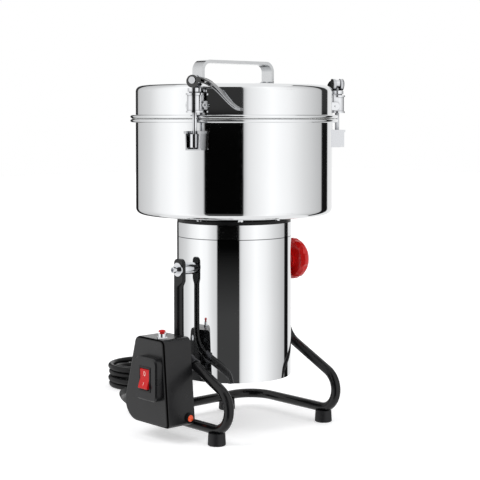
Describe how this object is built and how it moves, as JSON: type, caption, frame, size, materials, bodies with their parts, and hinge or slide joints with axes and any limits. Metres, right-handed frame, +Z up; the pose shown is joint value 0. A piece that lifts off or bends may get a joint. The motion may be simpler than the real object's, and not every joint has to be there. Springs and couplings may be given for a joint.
{
  "type": "electric grain mill",
  "caption": "Round steel milling bowl with a latched lid, over a motor that tilts on a bent black bar stand with a switch box and mains cord.",
  "frame": {"origin": "on the floor, under the motor's axis, midway between the stand's side frames", "axes": "+X along the tilt axis towards the clamp knob, +Y to the back (the lid's hinge), +Z up"},
  "size_m": [0.3489, 0.4439, 0.4616],
  "materials": {
    "black_bar": "gloss black",
    "rubber": "matt",
    "bright_steel": "bright plated",
    "red_knob": "moulded",
    "box_plastic": "satin",
    "dark_plastic": "satin",
    "clamp_steel": "pressed",
    "red_plastic": "moulded",
    "amber_lens": "lit lens",
    "cord_black": "satin sheath",
    "polished_steel": "mirror polished",
    "cast_grey": "cast",
    "ring_black": "satin black",
    "core_steel": "bare",
    "copper": "wound wire",
    "blade_steel": "ground",
    "seal_white": "silicone",
    "latch_steel": "polished"
  },
  "bodies": {
    "stand": {"stand_bar": "black_bar", "rubber_feet": "rubber", "pivot_bolt": "bright_steel", "pivot_washers": "bright_steel", "control_box": "box_plastic", "box_cover": "box_plastic", "cover_screws": "bright_steel", "box_clamps": "clamp_steel", "switch_panel": "box_plastic", "switch_body": "dark_plastic", "indicator_bezel": "dark_plastic", "indicator_lens": "amber_lens", "reset_barrel": "bright_steel", "cord_gland": "cord_black", "cord_run": "cord_black", "cord_coil": "cord_black", "cord_tail": "cord_black", "plug_body": "cord_black", "plug_pins": "bright_steel"},
    "knob": {"clamp_knob": "red_knob", "clamp_stud": "bright_steel"},
    "rocker": {"rocker": "red_plastic"},
    "reset": {"reset_button": "red_plastic"},
    "mill": {"motor_housing": "polished_steel", "motor_base": "dark_plastic", "base_screws": "bright_steel", "motor_cap": "cast_grey", "mounting_ring": "ring_black", "ring_bolts": "bright_steel", "stator_core": "core_steel", "stator_coils": "copper", "brush_holders": "copper", "upper_bearing": "core_steel", "lower_bearing": "core_steel", "pivot_bosses": "bright_steel", "shaft_seal": "dark_plastic", "bowl": "polished_steel", "latch_catches": "latch_steel", "hinge_lower": "bright_steel"},
    "rotor": {"rotor_shaft": "core_steel", "armature": "core_steel", "commutator": "copper", "cooling_fan": "core_steel", "lower_blade": "blade_steel", "blade_spacer": "blade_steel", "upper_blade": "blade_steel", "blade_nut": "blade_steel"},
    "lid": {"hinge_upper": "bright_steel", "lid": "polished_steel", "lid_seal": "seal_white", "lid_handle": "polished_steel", "handle_screws": "bright_steel", "latch_ears": "bright_steel"},
    "latch_left": {"latch_sleeve_left": "latch_steel", "latch_rod_left": "latch_steel"},
    "latch_right": {"latch_sleeve_right": "latch_steel", "latch_rod_right": "latch_steel"},
    "lever_left": {"cam_lever_left": "latch_steel"},
    "lever_right": {"cam_lever_right": "latch_steel"}
  },
  "joints": [
    {"name": "mill_tilt", "type": "hinge", "parent": "stand", "child": "mill", "pos_m": [0, 0, 0.204], "axis": [1, 0, 0], "range_deg": [-90, 100]},
    {"name": "clamp_turn", "type": "hinge", "parent": "stand", "child": "knob", "pos_m": [0.1, 0, 0.204], "axis": [1, 0, 0], "range_deg": [0, 360]},
    {"name": "rotor_spin", "type": "hinge", "parent": "mill", "child": "rotor", "pos_m": [0, 0, 0.16], "axis": [0, 0, 1], "continuous": true},
    {"name": "lid_open", "type": "hinge", "parent": "mill", "child": "lid", "pos_m": [0, 0.139, 0.3886], "axis": [-1, 0, 0], "range_deg": [0, 105]},
    {"name": "latch_left_swing", "type": "hinge", "parent": "lid", "child": "latch_left", "pos_m": [-0.11526, -0.0631, 0.40461], "axis": [-0.4802, 0.8771, 0], "range_deg": [0, 13]},
    {"name": "lever_left_turn", "type": "hinge", "parent": "latch_left", "child": "lever_left", "pos_m": [-0.11964, -0.0655, 0.4336], "axis": [-0.8771, -0.4802, 0], "range_deg": [0, 150]},
    {"name": "latch_right_swing", "type": "hinge", "parent": "lid", "child": "latch_right", "pos_m": [0.11526, -0.0631, 0.40461], "axis": [-0.4802, -0.8771, 0], "range_deg": [0, 13]},
    {"name": "lever_right_turn", "type": "hinge", "parent": "latch_right", "child": "lever_right", "pos_m": [0.11964, -0.0655, 0.4336], "axis": [0.8771, -0.4802, 0], "range_deg": [0, 150]},
    {"name": "rocker_press", "type": "hinge", "parent": "stand", "child": "rocker", "pos_m": [-0.147, -0.007, 0.0775], "axis": [0, -1, 0], "range_deg": [0, 18]},
    {"name": "reset_press", "type": "slide", "parent": "stand", "child": "reset", "axis": [0, 0, -1], "range_m": [0, 0.002], "stiffness_N_per_m": 400}
  ]
}
